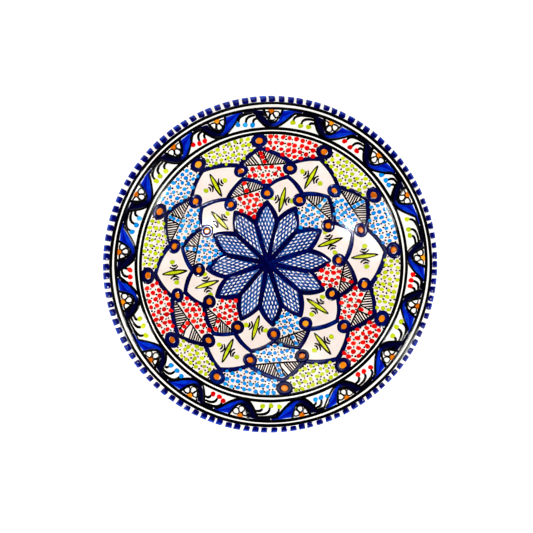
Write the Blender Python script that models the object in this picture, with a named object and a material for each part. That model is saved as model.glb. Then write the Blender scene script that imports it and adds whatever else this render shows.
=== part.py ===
"""Hand painted ceramic plate, 320 mm across, standing on its turned foot.

The plate is thrown in earthenware clay, glazed white in three zones (face, back, inside the foot)
and painted with raised coats of pigment.  It is modelled in metres with +Z up.  The origin is on
the table in the middle of the foot ring, so +Z is the axis that the plate was turned on.
"""

import math

import bmesh
import bpy

# ------------------------------------------------------------ driving dimensions (metres)
RIM_RADIUS = 0.1600           # outermost point of the glazed lip
LIP_ROUNDING = 0.0040         # radius of the rounded lip
WALL_THICKNESS = 0.0080       # border and hollow, glaze to glaze
BORDER_CROWN = 0.0010         # the level border climbs this much towards the lip

WELL_RADIUS = 0.1240          # where the hollow meets the border
WELL_DEPTH = 0.0360           # middle of the hollow below its edge
WELL_FLOOR = 0.0130           # middle of the hollow above the table
WELL_EDGE_WIDTH = 0.0120      # width of the rounded edge between hollow and border

FOOT_OUTER_RADIUS = 0.0680
FOOT_INNER_RADIUS = 0.0590
FOOT_CHAMFER = 0.0012
FOOT_FILLET = 0.0040          # rounding between the foot and the wall
BARE_FOOT_HEIGHT = 0.0030     # the foot is left unglazed below this

GLAZE = 0.0007                # thickness of a coat of glaze
PAINT = 0.0004                # thickness of a raised coat of pigment
GAP = 0.0003                  # clearance between neighbouring solids
PAINT_GAP = 0.0004            # clearance under a coat of pigment, which crosses the turned facets
BACK_GLAZE_START = -55        # degrees below the lip's middle where the back's glaze takes over

TURNED_STEPS = 48             # facets round the turned pieces
GARLAND_STEPS = 170           # facets round the painted pieces
NET_STEPS = 144
FLOWER_STEPS = 72

RIM_LINES = (0.1529, 0.1483)  # middle radius of the outer and of the inner line
WELL_LINES = (0.1293, 0.1250)
LINE_WIDTH = 0.0021
LINE_CLEARANCE = 0.0007       # from a line's facets to the coats painted beside it

LOBES = 17
FIRST_LOBE = 89               # degrees; lobes and eyes follow clockwise from the first
STRAY = 1.5                   # degrees that a lobe or an eye strays from its even place
STRAY_RHYTHM = 2.4            # radians from one lobe's or eye's straying to the next one's
LOBE_HALF_WIDTH = 0.0195      # along the border, from a lobe's middle to the end of its legs
LOBE_TIP_RADIUS = 0.1308
LOBE_FULLNESS = 2.2           # 1 for a pointed lobe, more for a rounder one
FLOWER_HALF_WIDTH = 0.0095    # opening for the small flower inside each lobe
FLOWER_TIP_RADIUS = 0.1352
STEM_WIDTH = 0.0020           # garland between two lobes, along the rim line

EYES = 12                     # painted eyes in each of the three rings of the net
EYE_RINGS = (                 # radius, angle of the first eye, radial and tangential half sizes
    {"radius": 0.0680, "first": 93, "radial": 0.0062, "tangential": 0.0062},
    {"radius": 0.0936, "first": 79, "radial": 0.0062, "tangential": 0.0064},
    {"radius": 0.1178, "first": 95, "radial": 0.0055, "tangential": 0.0076},
)
INNER_ARCHES = (0.0735, 0.0845)   # radius of the arches' feet and of their points
OUTER_ARCHES = (0.0968, 0.1090)
ARCH_WIDTH = 0.0035
ARCH_BULGE = 0.7              # how far an arch's sides swell out, 0 for straight sides
PETAL_TIP_RADIUS = 0.0590
PETAL_VALLEY_RADIUS = 0.0405
PETAL_BULGE = 0.35


# ------------------------------------------------------------ the plate's section
def sphere_radius():
    """Radius of the sphere that the hollow is part of."""
    return (WELL_RADIUS ** 2 + WELL_DEPTH ** 2) / (2 * WELL_DEPTH)


def hollow_height(radius):
    return WELL_FLOOR + sphere_radius() - math.sqrt(sphere_radius() ** 2 - radius ** 2)


def lip_centre_radius():
    return RIM_RADIUS - LIP_ROUNDING


def face_height(radius):
    """Height of the glazed face, from the middle of the hollow out to the lip."""
    edge_start = WELL_RADIUS - WELL_EDGE_WIDTH / 2
    edge_end = WELL_RADIUS + WELL_EDGE_WIDTH / 2
    if radius <= edge_start:
        return hollow_height(radius)
    slope = edge_start / math.sqrt(sphere_radius() ** 2 - edge_start ** 2)
    across = min((radius - edge_start) / WELL_EDGE_WIDTH, 1)
    height = hollow_height(edge_start) + slope * WELL_EDGE_WIDTH * (across - across ** 2 / 2)
    if radius > edge_end:
        along_border = min((radius - edge_end) / (lip_centre_radius() - edge_end), 1)
        height += BORDER_CROWN * math.sin(along_border * math.pi / 2)
    return height


def lip_centre_height():
    return face_height(lip_centre_radius()) - LIP_ROUNDING


def spread(start, end, count):
    """Evenly spaced values from start to end, both included."""
    return [start + (end - start) * i / (count - 1) for i in range(count)]


def lip_arc(first_degrees, last_degrees, count):
    """Points round the lip, measured up from its outermost point."""
    points = []
    for degrees in spread(first_degrees, last_degrees, count):
        turn = math.radians(degrees)
        points.append((lip_centre_radius() + LIP_ROUNDING * math.cos(turn),
                       lip_centre_height() + LIP_ROUNDING * math.sin(turn)))
    return points


def moved_along_normals(points, distance):
    """The open outline moved to its left side by distance (to its right when negative)."""
    moved = []
    for i, (radius, height) in enumerate(points):
        before = points[max(i - 1, 0)]
        after = points[min(i + 1, len(points) - 1)]
        run, rise = after[0] - before[0], after[1] - before[1]
        length = math.hypot(run, rise)
        moved_radius = radius - distance * rise / length
        moved.append((0.0 if radius == 0 else moved_radius, height + distance * run / length))
    return moved


def face_outline():
    """The face from the middle of the hollow to the last point before the lip."""
    edge_start = WELL_RADIUS - WELL_EDGE_WIDTH / 2
    edge_end = WELL_RADIUS + WELL_EDGE_WIDTH / 2
    radii = spread(0, edge_start, 9) + spread(edge_start, edge_end, 4)[1:]
    radii.append((edge_end + lip_centre_radius()) / 2)
    return [(radius, face_height(radius)) for radius in radii]


def back_height(radius):
    """Height of the glazed back under the hollow, which runs parallel to the face."""
    outer_sphere = sphere_radius() + WALL_THICKNESS
    return WELL_FLOOR + sphere_radius() - math.sqrt(outer_sphere ** 2 - radius ** 2)


def rounded_corner(start, corner, end, count):
    """Points of a curve from start to end that rounds off the corner between them."""
    points = []
    for share in spread(0, 1, count):
        weights = ((1 - share) ** 2, 2 * share * (1 - share), share ** 2)
        points.append(tuple(sum(weight * point[axis] for weight, point
                                in zip(weights, (start, corner, end))) for axis in (0, 1)))
    return points


def foot_side(foot_radius, wall_radius):
    """From the wall at wall_radius, round the fillet and down a side of the foot."""
    corner = (foot_radius, back_height(foot_radius))
    top = (foot_radius, corner[1] - FOOT_FILLET)
    wall = (wall_radius, back_height(wall_radius))
    return rounded_corner(wall, corner, top, 4) + [(foot_radius, BARE_FOOT_HEIGHT)]


def glazed_back():
    """The glazed surface from the back of the lip to the outer side of the foot."""
    wall_start = FOOT_OUTER_RADIUS + FOOT_FILLET
    face_start = wall_start * sphere_radius() / (sphere_radius() + WALL_THICKNESS)
    radii = spread(face_start, lip_centre_radius(), 9)[1:-1]
    under = [(radius, face_height(radius)) for radius in radii]
    return moved_along_normals(under, -WALL_THICKNESS)[::-1] + foot_side(FOOT_OUTER_RADIUS, wall_start)


def glazed_recess():
    """The glazed surface inside the foot, from its lower end to the axis."""
    ceiling_end = FOOT_INNER_RADIUS - FOOT_FILLET
    ceiling = [(radius, back_height(radius)) for radius in spread(ceiling_end, 0, 4)[1:]]
    return foot_side(FOOT_INNER_RADIUS, ceiling_end)[::-1] + ceiling


# ------------------------------------------------------------ making solids
def pigment(name, color, roughness):
    material = bpy.data.materials.new(name)
    material.use_nodes = True
    shader = material.node_tree.nodes["Principled BSDF"]
    shader.inputs["Base Color"].default_value = (*color, 1)
    shader.inputs["Roughness"].default_value = roughness
    shader.inputs["Metallic"].default_value = 0
    material.diffuse_color = (*color, 1)
    return material


def place(name, mesh, material):
    piece = bpy.data.objects.new(name, mesh)
    mesh.materials.append(material)
    bpy.context.scene.collection.objects.link(piece)
    return piece


def turned(name, outline, material, closed_loop=False):
    """A solid turned round +Z from an outline that runs down its outer side."""
    mesh = bpy.data.meshes.new(name)
    edges = [(i, i + 1) for i in range(len(outline) - 1)]
    if closed_loop:
        edges.append((len(outline) - 1, 0))
    mesh.from_pydata([(radius, 0, height) for radius, height in outline], edges, [])
    piece = place(name, mesh, material)
    screw = piece.modifiers.new("turning", "SCREW")
    screw.axis = "Z"
    screw.angle = math.tau
    screw.steps = TURNED_STEPS
    screw.render_steps = TURNED_STEPS
    screw.use_merge_vertices = True
    screw.merge_threshold = 0.00001
    screw.use_smooth_shade = True
    return piece


def painted(name, inner, outer, rows, steps, material):
    """A coat of pigment draped over the face between two radii that follow the angle.

    inner is None for a coat that covers the middle of the hollow.  rows is the number of steps
    from the inner to the outer edge, and steps the number round the plate.
    """
    shape = bmesh.new()
    angles = [math.tau * i / steps for i in range(steps)]
    sheets = []
    for lift in (PAINT_GAP, PAINT_GAP + PAINT):
        rings = []
        for row in range(0 if inner else 1, rows + 1):
            ring = []
            for angle in angles:
                start = inner(angle) if inner else 0
                radius = start + (outer(angle) - start) * row / rows
                ring.append(shape.verts.new((radius * math.cos(angle), radius * math.sin(angle),
                                             face_height(radius) + lift)))
            rings.append(ring)
        middle = None if inner else shape.verts.new((0, 0, face_height(0) + lift))
        sheets.append((rings, middle))
    under, over = sheets
    for i in range(steps):
        j = (i + 1) % steps
        for (rings, middle), faces_up in ((under, False), (over, True)):
            cells = [(low[i], high[i], high[j], low[j]) for low, high in zip(rings, rings[1:])]
            if middle:
                cells.append((middle, rings[0][i], rings[0][j]))
            for cell in cells:
                shape.faces.new(cell if faces_up else cell[::-1])
        edge_low, edge_high = under[0][-1], over[0][-1]
        shape.faces.new((edge_low[i], edge_low[j], edge_high[j], edge_high[i]))
        if inner:
            edge_low, edge_high = under[0][0], over[0][0]
            shape.faces.new((edge_low[j], edge_low[i], edge_high[i], edge_high[j]))
    mesh = bpy.data.meshes.new(name)
    shape.to_mesh(mesh)
    shape.free()
    mesh.shade_smooth()
    mesh.set_sharp_from_angle(angle=math.radians(40))
    return place(name, mesh, material)


# ------------------------------------------------------------ the painter's pattern
def turn_between(angle, other):
    """The angle from other to angle, from -pi to pi."""
    return (angle - other + math.pi) % math.tau - math.pi


def spaced_by_eye(first, count):
    """Angles of marks set clockwise from the first, each a little off its even place."""
    return [math.radians(first - 360 / count * k + STRAY * math.sin(STRAY_RHYTHM * k + first))
            for k in range(count)]


def eye_angles(ring):
    return spaced_by_eye(ring["first"], EYES)


def swollen(share, bulge):
    """Share of a rise after a share of its run, for a side that swells out."""
    return share + bulge * share * (1 - share)


def scallop(angle, bases, peaks, base_radius, peak_radius, bulge):
    """Radius and slope of a scalloped line that rises from each base to the peaks beside it."""
    base = min(bases, key=lambda a: abs(turn_between(angle, a)))
    side = 1 if turn_between(angle, base) >= 0 else -1
    peak = min(peaks, key=lambda a: (turn_between(a, base) * side) % math.tau)
    run = (turn_between(peak, base) * side) % math.tau
    share = min(abs(turn_between(angle, base)) / run, 1)
    radius = base_radius + (peak_radius - base_radius) * swollen(share, bulge)
    slope = (peak_radius - base_radius) * (1 + bulge * (1 - 2 * share)) / (run * radius)
    return radius, slope


def arch_ring(base_ring, peak_ring, base_radius, peak_radius, eye_rings):
    """Inner and outer edges of a ring of pointed arches with painted eyes at their ends."""
    bases, peaks = eye_angles(base_ring), eye_angles(peak_ring)

    def edges(angle):
        radius, slope = scallop(angle, bases, peaks, base_radius, peak_radius, ARCH_BULGE)
        half = ARCH_WIDTH / 2 * math.hypot(1, slope)
        low, high = radius - half, radius + half
        for ring in eye_rings:
            for eye in eye_angles(ring):
                off = turn_between(angle, eye) * ring["radius"] / ring["tangential"]
                if abs(off) < 1:
                    reach = ring["radial"] * math.sqrt(1 - off ** 2)
                    low = min(low, ring["radius"] - reach)
                    high = max(high, ring["radius"] + reach)
        return low, high

    return (lambda angle: edges(angle)[0]), (lambda angle: edges(angle)[1])


def garland_edge(angle, half_width, tip_radius, stem_radius):
    """Edge of the garland: along the rim line, dipping to tip_radius in each lobe."""
    nearest = min(abs(turn_between(angle, lobe)) for lobe in spaced_by_eye(FIRST_LOBE, LOBES))
    across = nearest * RIM_LINES[1] / half_width
    if across >= 1:
        return stem_radius
    return stem_radius + (tip_radius - stem_radius) * (1 - across ** LOBE_FULLNESS)


def petal_outline(angle):
    tips = eye_angles(EYE_RINGS[0])
    valleys = [tip + math.radians(180 / EYES) for tip in tips]
    return scallop(angle, valleys, tips, PETAL_VALLEY_RADIUS, PETAL_TIP_RADIUS, PETAL_BULGE)[0]


# ------------------------------------------------------------ the pieces
def make_clay_body(clay):
    under_glaze = -(GLAZE + GAP)
    skin = moved_along_normals(face_outline() + lip_arc(90, -90, 7) + glazed_back(), under_glaze)
    recess = moved_along_normals(glazed_recess(), under_glaze)
    foot = [(FOOT_OUTER_RADIUS, BARE_FOOT_HEIGHT - GAP),
            (FOOT_OUTER_RADIUS, FOOT_CHAMFER),
            (FOOT_OUTER_RADIUS - FOOT_CHAMFER, 0),
            (FOOT_INNER_RADIUS + FOOT_CHAMFER, 0),
            (FOOT_INNER_RADIUS, FOOT_CHAMFER),
            (FOOT_INNER_RADIUS, BARE_FOOT_HEIGHT - GAP)]
    skin[-1] = (skin[-1][0], BARE_FOOT_HEIGHT - GAP)
    recess[0] = (recess[0][0], BARE_FOOT_HEIGHT - GAP)
    turned("clay_body", skin + foot + recess, clay)


def make_glazes(glaze):
    face = face_outline() + lip_arc(90, BACK_GLAZE_START, 6)
    turned("face_glaze", face + moved_along_normals(face, -GLAZE)[::-1], glaze)

    back = lip_arc(BACK_GLAZE_START - 8, -90, 3) + glazed_back()
    turned("back_glaze", back + moved_along_normals(back, -GLAZE)[::-1], glaze, closed_loop=True)

    recess = glazed_recess()
    turned("foot_glaze", moved_along_normals(recess, -GLAZE)[::-1] + recess, glaze)


def make_lines(black):
    names = ("rim_line_outer", "rim_line_inner", "well_line_outer", "well_line_inner")
    for name, middle in zip(names, RIM_LINES + WELL_LINES):
        radii = (middle + LINE_WIDTH / 2, middle - LINE_WIDTH / 2)
        under = [(radius, face_height(radius) + PAINT_GAP) for radius in radii]
        over = [(radius, height + PAINT) for radius, height in under]
        turned(name, under + over[::-1], black, closed_loop=True)


def make_garland(blue):
    stem = RIM_LINES[1] - LINE_WIDTH / 2 - LINE_CLEARANCE

    def inner(angle):
        return garland_edge(angle, LOBE_HALF_WIDTH, LOBE_TIP_RADIUS, stem - STEM_WIDTH)

    def outer(angle):
        return garland_edge(angle, FLOWER_HALF_WIDTH, FLOWER_TIP_RADIUS, stem)

    painted("border_garland", inner, outer, 2, GARLAND_STEPS, blue)


def make_net(cobalt):
    eyes_1, eyes_2, eyes_3 = EYE_RINGS
    low, high = arch_ring(eyes_1, eyes_2, *INNER_ARCHES, [eyes_1])
    painted("inner_arches", low, high, 1, NET_STEPS, cobalt)
    low, high = arch_ring(eyes_2, eyes_3, *OUTER_ARCHES, [eyes_2, eyes_3])
    painted("outer_arches", low, high, 2, NET_STEPS, cobalt)


def make_flower(navy):
    painted("centre_flower", None, petal_outline, 3, FLOWER_STEPS, navy)


def build():
    for thing in list(bpy.data.objects):
        bpy.data.objects.remove(thing, do_unlink=True)
    clay = pigment("bare earthenware", (0.62, 0.36, 0.22), 0.8)
    glaze = pigment("white tin glaze", (0.90, 0.88, 0.83), 0.08)
    black = pigment("manganese black", (0.010, 0.010, 0.012), 0.1)
    blue = pigment("royal blue", (0.010, 0.030, 0.450), 0.1)
    cobalt = pigment("cobalt", (0.006, 0.012, 0.210), 0.1)
    navy = pigment("thin cobalt wash", (0.120, 0.180, 0.500), 0.1)
    make_clay_body(clay)
    make_glazes(glaze)
    make_lines(black)
    make_garland(blue)
    make_net(cobalt)
    make_flower(navy)


build()
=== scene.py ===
"""Looks of the hand painted ceramic plate: glaze, bare clay and every stroke of the painting.

The painting is laid out in millimetres on the unrolled face: a point's distance from the middle is
its radius on the face and, past the lip's crest, its length round the lip.  Each colour is one
mesh of thin raised strokes draped over the glaze.
"""

import math
import random

import bpy
from mathutils import Matrix, Vector


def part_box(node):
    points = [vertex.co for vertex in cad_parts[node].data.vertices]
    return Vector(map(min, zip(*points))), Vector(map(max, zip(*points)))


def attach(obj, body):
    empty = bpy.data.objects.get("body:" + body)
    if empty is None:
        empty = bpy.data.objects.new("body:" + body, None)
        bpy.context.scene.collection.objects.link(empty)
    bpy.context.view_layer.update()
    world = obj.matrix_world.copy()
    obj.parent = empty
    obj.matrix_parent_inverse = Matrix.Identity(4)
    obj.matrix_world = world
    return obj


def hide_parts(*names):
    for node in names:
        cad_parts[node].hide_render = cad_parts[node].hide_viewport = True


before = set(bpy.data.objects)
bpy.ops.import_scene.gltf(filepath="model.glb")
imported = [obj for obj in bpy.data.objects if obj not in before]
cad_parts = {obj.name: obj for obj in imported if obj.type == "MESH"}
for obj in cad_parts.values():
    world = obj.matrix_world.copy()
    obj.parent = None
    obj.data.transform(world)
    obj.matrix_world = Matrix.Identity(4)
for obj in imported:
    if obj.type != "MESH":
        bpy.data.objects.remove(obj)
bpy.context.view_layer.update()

MM = 0.001
hand = random.Random(11)      # the painter's small irregularities, the same on each run

# ------------------------------------------------------------ the plate's section, in millimetres
RIM_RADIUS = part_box("face_glaze")[1].x / MM
TOP_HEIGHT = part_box("face_glaze")[1].z / MM
LIP_ROUNDING = 4.0
LIP_CENTRE = RIM_RADIUS - LIP_ROUNDING
WALL = 8.0                    # glaze to glaze
GLAZE = 0.7
CLAY_GAP = 0.3
BORDER_CROWN = 1.0
WELL_RADIUS = 124.0
WELL_DEPTH = 36.0
WELL_FLOOR = 13.0
WELL_EDGE_WIDTH = 12.0
FOOT_OUTER = 68.0
FOOT_INNER = 59.0
FOOT_FILLET = 4.0
FOOT_CHAMFER = 1.2
BARE_FOOT = 3.0
SPHERE = (WELL_RADIUS ** 2 + WELL_DEPTH ** 2) / (2 * WELL_DEPTH)
EDGE_START = WELL_RADIUS - WELL_EDGE_WIDTH / 2
EDGE_END = WELL_RADIUS + WELL_EDGE_WIDTH / 2

# ------------------------------------------------------------ the painter's layout
RIM_LINES = (152.9, 148.3)
WELL_LINES = (129.3, 125.0)
LINE_WIDTH = 2.5
EYES = 12
EYE_RINGS = (
    {"radius": 68.0, "first": 93, "outside": (6.3, 6.6), "hole": (2.7, 2.9)},
    {"radius": 93.6, "first": 79, "outside": (6.1, 7.0), "hole": (2.4, 3.1)},
    {"radius": 118.2, "first": 95, "outside": (6.4, 8.1), "hole": (2.7, 3.5)},
)
INNER_ARCH = (74.0, 85.5)     # radius of the arches' feet and points
OUTER_ARCH = (98.5, 111.0)
ARCH_WIDTH = 3.8
ARCH_BULGE = 0.22
PETAL = (41.5, 59.0)          # radius of the valleys and tips of the flower
PETAL_BULGE = 0.14
LOBES = 17
FIRST_LOBE = 89
STRAY = 1.5                   # degrees that a lobe or an eye strays from its even place
STRAY_RHYTHM = 2.4            # radians from one lobe's or eye's straying to the next one's
LOBE_DOTS = ("lime", "red", "blue", "lime", "red", "lime", "red", "blue", "lime", "red", "blue",
             "lime", "red", "blue", "lime", "red", "blue")
OUTER_CELLS = ("red", "lime", "blue", "lime")
OUTER_RING_CELLS = ("red", "leaf", "blue", "leaf")
INNER_RING_CELLS = ("leaf", "blue", "leaf", "red")


def hollow_height(radius):
    return WELL_FLOOR + SPHERE - math.sqrt(SPHERE ** 2 - radius ** 2)


def back_height(radius):
    return WELL_FLOOR + SPHERE - math.sqrt((SPHERE + WALL) ** 2 - radius ** 2)


def face_height(radius):
    """Height of the glazed face, from the middle of the hollow out to the lip."""
    if radius <= EDGE_START:
        return hollow_height(radius)
    slope = EDGE_START / math.sqrt(SPHERE ** 2 - EDGE_START ** 2)
    across = min((radius - EDGE_START) / WELL_EDGE_WIDTH, 1)
    height = hollow_height(EDGE_START) + slope * WELL_EDGE_WIDTH * (across - across ** 2 / 2)
    if radius > EDGE_END:
        along_border = min((radius - EDGE_END) / (LIP_CENTRE - EDGE_END), 1)
        height += BORDER_CROWN * math.sin(along_border * math.pi / 2)
    return height


def face_slope(radius):
    step = 0.3
    return (face_height(radius + step) - face_height(radius - step)) / (2 * step)


def unevenness(radius, angle):
    """The thrown surface isn't true: faint turning rings and a slow wave round the plate."""
    fade = min(radius / 20, 1)
    rings = 0.016 * math.sin(radius / 1.9 + angle) + 0.02 * math.sin(radius / 4.3 - 2 * angle)
    waves = 0.07 * math.sin(3 * angle + 0.8 + radius / 60) + 0.05 * math.sin(5 * angle - radius / 35)
    return fade * (rings + waves) - 0.05


def on_face(reach, angle, lift=0.0):
    """The point lift above the glaze, reach from the middle along the face and over the lip."""
    wave = unevenness(reach, angle)
    if reach <= LIP_CENTRE:
        radius, height = reach, face_height(reach) + wave + lift
    else:
        turn = math.pi / 2 - (reach - LIP_CENTRE) / LIP_ROUNDING
        out = LIP_ROUNDING + wave * math.sin(turn) + lift
        radius = LIP_CENTRE + out * math.cos(turn)
        height = face_height(LIP_CENTRE) - LIP_ROUNDING + out * math.sin(turn)
    return Vector((radius * math.cos(angle), radius * math.sin(angle), height)) * MM


def polar(radius, degrees):
    angle = math.radians(degrees)
    return Vector((radius * math.cos(angle), radius * math.sin(angle)))


def arc(degrees, radius):
    return math.radians(degrees) * radius


def spread(start, end, count):
    return [start + (end - start) * i / (count - 1) for i in range(count)]


# ------------------------------------------------------------ materials
class Nodes:
    """Short names for the shader nodes that the materials use."""

    def __init__(self, name, roughness, specular=0.5):
        self.material = bpy.data.materials.new(name)
        self.material.use_nodes = True
        self.tree = self.material.node_tree
        self.shader = self.tree.nodes["Principled BSDF"]
        self.shader.inputs["Roughness"].default_value = roughness
        self.shader.inputs["Specular IOR Level"].default_value = specular

    def link(self, value, socket):
        if isinstance(value, bpy.types.NodeSocket):
            self.tree.links.new(value, socket)
        else:
            socket.default_value = value

    def attribute(self, name):
        node = self.tree.nodes.new("ShaderNodeAttribute")
        node.attribute_name = name
        return node.outputs["Fac"]

    def position(self):
        return self.tree.nodes.new("ShaderNodeTexCoord").outputs["Object"]

    def vector(self, x, y, z):
        node = self.tree.nodes.new("ShaderNodeCombineXYZ")
        for value, socket in zip((x, y, z), node.inputs):
            self.link(value, socket)
        return node.outputs[0]

    def noise(self, vector, scale, detail=3.0, roughness=0.55):
        node = self.tree.nodes.new("ShaderNodeTexNoise")
        self.link(vector, node.inputs["Vector"])
        node.inputs["Scale"].default_value = scale
        node.inputs["Detail"].default_value = detail
        node.inputs["Roughness"].default_value = roughness
        return node.outputs["Fac"]

    def cells(self, vector, scale):
        node = self.tree.nodes.new("ShaderNodeTexVoronoi")
        self.link(vector, node.inputs["Vector"])
        node.inputs["Scale"].default_value = scale
        return node.outputs["Distance"]

    def maths(self, operation, first, second=0.0):
        node = self.tree.nodes.new("ShaderNodeMath")
        node.operation = operation
        self.link(first, node.inputs[0])
        self.link(second, node.inputs[1])
        return node.outputs[0]

    def plus(self, first, second):
        return self.maths("ADD", first, second)

    def times(self, first, second):
        return self.maths("MULTIPLY", first, second)

    def ramp(self, factor, *stops):
        node = self.tree.nodes.new("ShaderNodeValToRGB")
        self.link(factor, node.inputs[0])
        elements = node.color_ramp.elements
        while len(elements) < len(stops):
            elements.new(0.5)
        for element, (place, color) in zip(elements, stops):
            element.position = place
            element.color = (*color, 1)
        return node.outputs["Color"]

    def map(self, value, low, high, to_low, to_high):
        node = self.tree.nodes.new("ShaderNodeMapRange")
        self.link(value, node.inputs["Value"])
        for name, number in zip(("From Min", "From Max", "To Min", "To Max"),
                                (low, high, to_low, to_high)):
            node.inputs[name].default_value = number
        return node.outputs[0]

    def mix(self, factor, first, second):
        node = self.tree.nodes.new("ShaderNodeMix")
        node.data_type = "RGBA"
        self.link(factor, node.inputs["Factor"])
        for value, name in ((first, "A"), (second, "B")):
            socket = [s for s in node.inputs if s.name == name and s.type == "RGBA"][0]
            self.link(value if isinstance(value, bpy.types.NodeSocket) else (*value, 1), socket)
        return [s for s in node.outputs if s.type == "RGBA"][0]

    def bump(self, height, distance):
        node = self.tree.nodes.new("ShaderNodeBump")
        node.inputs["Strength"].default_value = 1.0
        node.inputs["Distance"].default_value = distance
        self.link(height, node.inputs["Height"])
        self.link(node.outputs[0], self.shader.inputs["Normal"])

    def paint(self, color):
        self.link(color, self.shader.inputs["Base Color"])


def srgb(red, green, blue):
    """Linear colour of an 8-bit screen colour."""
    return tuple((c / 255 / 12.92) if c <= 10 else ((c / 255 + 0.055) / 1.055) ** 2.4
                 for c in (red, green, blue))


def white_glaze_material():
    """Opaque tin glaze: cooler where it is thick, creamier where thin, with pinholes and specks."""
    nodes = Nodes("white_glaze", 0.07)
    place = nodes.position()
    clouds = nodes.noise(place, 22, 4)
    ground = nodes.ramp(clouds, (0.3, srgb(252, 246, 238)), (0.7, srgb(255, 252, 247)))
    speck = nodes.map(nodes.cells(place, 260), 0.02, 0.05, 1, 0)
    rare = nodes.map(nodes.noise(place, 40, 1), 0.58, 0.66, 0, 1)
    nodes.paint(nodes.mix(nodes.times(speck, rare), ground, srgb(150, 118, 90)))
    nodes.link(nodes.map(nodes.noise(place, 90), 0.3, 0.7, 0.04, 0.11),
               nodes.shader.inputs["Roughness"])
    peel = nodes.noise(place, 420, 2)
    pinhole = nodes.map(nodes.cells(place, 190), 0.0, 0.09, -1.5, 0)
    nodes.bump(nodes.plus(peel, pinhole), 0.00002)
    return nodes.material


def thin_glaze_and_shade_material():
    """The back's thinner glaze: the clay warms it, most of all along the turning lines, and its darker cream
    is partly a painted shade for the underside.
    """
    nodes = Nodes("thin_white_glaze_and_shade", 0.12)
    place = nodes.position()
    axes = nodes.tree.nodes.new("ShaderNodeSeparateXYZ")
    nodes.link(place, axes.inputs[0])
    drift = nodes.times(nodes.noise(place, 30, 3), 0.012)
    squares = [nodes.maths("POWER", nodes.maths("ABSOLUTE", axes.outputs[i]), 2.0) for i in (0, 1)]
    radius = nodes.plus(nodes.maths("SQRT", nodes.plus(*squares)), drift)
    turning = nodes.noise(nodes.vector(radius, 0.0, 0.0), 260, 2)
    cover = nodes.plus(nodes.times(turning, 0.5), nodes.times(nodes.noise(place, 26, 5), 0.5))
    # partly painted shade: the back's cream is darker than the face's glaze
    ground = nodes.ramp(cover, (0.34, srgb(226, 204, 182)), (0.5, srgb(240, 230, 216)),
                        (0.68, srgb(250, 245, 236)))
    speck = nodes.map(nodes.cells(place, 240), 0.03, 0.07, 1, 0)
    rare = nodes.map(nodes.noise(place, 45, 1), 0.55, 0.62, 0, 1)
    nodes.paint(nodes.mix(nodes.times(speck, rare), ground, srgb(140, 96, 66)))
    nodes.bump(nodes.plus(turning, nodes.noise(place, 420, 2)), 0.00006)
    return nodes.material


def clay_material():
    """Bare fired earthenware with grog specks and blotches of colour."""
    nodes = Nodes("bare_earthenware", 0.85)
    place = nodes.position()
    blotches = nodes.noise(place, 60, 6)
    clay = nodes.ramp(blotches, (0.3, srgb(170, 98, 62)), (0.7, srgb(205, 134, 92)))
    grog = nodes.map(nodes.cells(place, 900), 0.08, 0.2, 1, 0)
    nodes.paint(nodes.mix(grog, clay, srgb(226, 190, 160)))
    nodes.bump(nodes.plus(nodes.noise(place, 900, 3), grog), 0.00012)
    return nodes.material


def pigment_material(name, deep, middle, thin, starved=0.5, pooling=0.12, dryness=0.35):
    """Brushed pigment: deep where it pools, thin where the brush ran dry, streaked lengthwise.

    starved is how much of the stroke is thin, pooling how much darker its edges dry and dryness
    how strongly the bristles show.
    """
    nodes = Nodes(name, 0.08, 0.3)
    across, along, tone = (nodes.attribute(key) for key in ("across", "along", "tone"))
    shift = nodes.times(tone, 37.0)
    bristles = nodes.noise(nodes.vector(nodes.times(along, 0.09), across, shift), 2.6, 4)
    patches = nodes.noise(nodes.vector(along, nodes.times(across, 2.0), shift), 0.24, 3)
    edge = nodes.maths("POWER", nodes.maths("ABSOLUTE", across), 3.0)
    amount = nodes.times(bristles, dryness)
    amount = nodes.plus(amount, nodes.times(patches, 1 - dryness))
    amount = nodes.plus(amount, nodes.times(tone, 0.3))
    amount = nodes.maths("SUBTRACT", amount, nodes.times(edge, pooling))
    amount = nodes.plus(amount, starved - 0.65)
    nodes.paint(nodes.ramp(amount, (0.25, deep), (0.5, middle), (0.8, thin)))
    nodes.bump(nodes.plus(bristles, nodes.noise(nodes.position(), 700, 2)), 0.00003)
    return nodes.material


def garland_material():
    """Two blues of the border, blended by the stroke's tone: 0 is blue-black, 1 bright royal blue."""
    nodes = Nodes("royal_blue", 0.08, 0.35)
    across, along, tone = (nodes.attribute(key) for key in ("across", "along", "tone"))
    bristles = nodes.noise(nodes.vector(nodes.times(along, 0.05), across, 0.0), 2.4, 5)
    royal = nodes.ramp(bristles, (0.36, srgb(0, 0, 128)), (0.5, srgb(0, 36, 190)),
                       (0.68, srgb(12, 112, 244)))
    night = nodes.ramp(bristles, (0.4, srgb(0, 0, 26)), (0.75, srgb(4, 2, 84)))
    nodes.paint(nodes.mix(tone, night, royal))
    nodes.bump(bristles, 0.00004)
    return nodes.material


def lip_material():
    """Blue-black where a dab starts on the face, royal blue over the lip, partly thinner paint and partly a
    painted sheen of the light that the lip's curve catches.
    """
    nodes = Nodes("lip_cobalt", 0.05, 0.35)
    across, along, tone = (nodes.attribute(key) for key in ("across", "along", "tone"))
    bristles = nodes.noise(nodes.vector(nodes.times(along, 0.12), across, nodes.times(tone, 37.0)), 2.2, 4)
    night = nodes.ramp(bristles, (0.35, srgb(0, 0, 70)), (0.7, srgb(0, 0, 128)))
    royal = nodes.ramp(bristles, (0.35, srgb(0, 10, 140)), (0.7, srgb(0, 84, 214)))
    # partly painted sheen: the dab's outer part, over the lip's curve, turns lighter royal blue
    thinning_and_sheen = nodes.map(nodes.plus(along, nodes.times(tone, 1.2)), 3.6, 5.6, 0, 1)
    nodes.paint(nodes.mix(thinning_and_sheen, night, royal))
    nodes.bump(bristles, 0.00003)
    return nodes.material


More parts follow.
